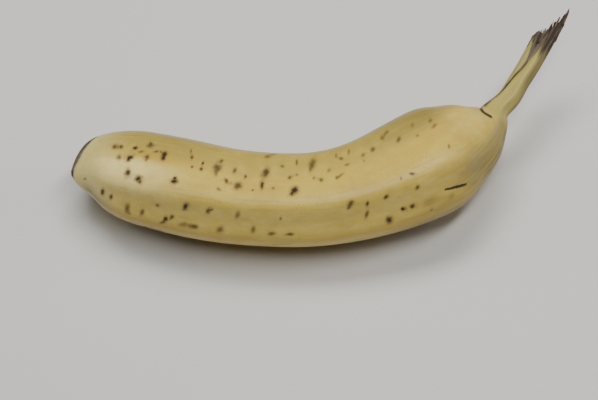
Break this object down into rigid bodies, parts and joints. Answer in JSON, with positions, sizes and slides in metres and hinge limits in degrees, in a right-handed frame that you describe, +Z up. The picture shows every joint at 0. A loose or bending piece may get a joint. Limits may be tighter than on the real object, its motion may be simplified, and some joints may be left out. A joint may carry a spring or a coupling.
{
  "type": "plantain",
  "caption": "Thick, gently bent ripe plantain lying on its side, with a ridged peel, a dry blossom scar and a stem torn off in ragged fibres.",
  "frame": {"origin": "on the table, under the middle of the fruit's box", "axes": "+X from the blossom end to the stem, +Y towards the inner side of the bend, +Z up"},
  "size_m": [0.256, 0.133, 0.0566],
  "materials": {
    "peel": "waxy satin, with dark flecks"
  },
  "bodies": {
    "root": {"plantain": "peel"}
  },
  "joints": []
}
